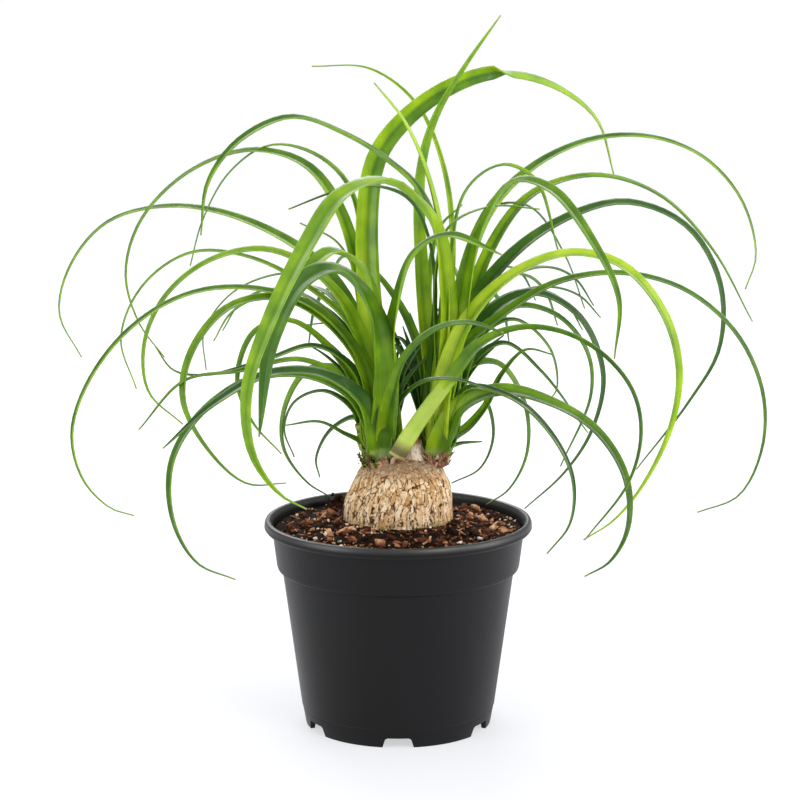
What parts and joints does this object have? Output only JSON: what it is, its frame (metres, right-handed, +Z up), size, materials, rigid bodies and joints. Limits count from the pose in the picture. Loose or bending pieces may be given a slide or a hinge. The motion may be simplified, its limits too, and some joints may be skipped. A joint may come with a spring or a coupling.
{
  "type": "potted ponytail palm",
  "caption": "Ponytail palm in a plain black nursery pot: a swollen corky stem in bark soil, with heads of long narrow leaves that arch over and hang.",
  "frame": {"origin": "the pot's axis, on the surface that the pot stands on; the leaves reach about as far to each side", "axes": "+Z up, +X to the right seen from the front, +Y to the back"},
  "size_m": [0.4577, 0.2922, 0.4477],
  "materials": {
    "pot_plastic": "satin charcoal black moulded polypropylene, a little glossier on the rolled rim",
    "bark_soil": "loose dark brown bark chips, coir fibre and pale perlite, matt",
    "cork_bark": "golden beige corky bark in plates with dark upright fissures, matt",
    "leaf_green": "smooth waxy strap leaves, yellow-green to blue-green with fine veins along them, semi-gloss"
  },
  "bodies": {
    "root": {"pot": "pot_plastic", "soil": "bark_soil", "caudex": "cork_bark", "crown_left": "leaf_green", "crown_right": "leaf_green"}
  },
  "joints": []
}
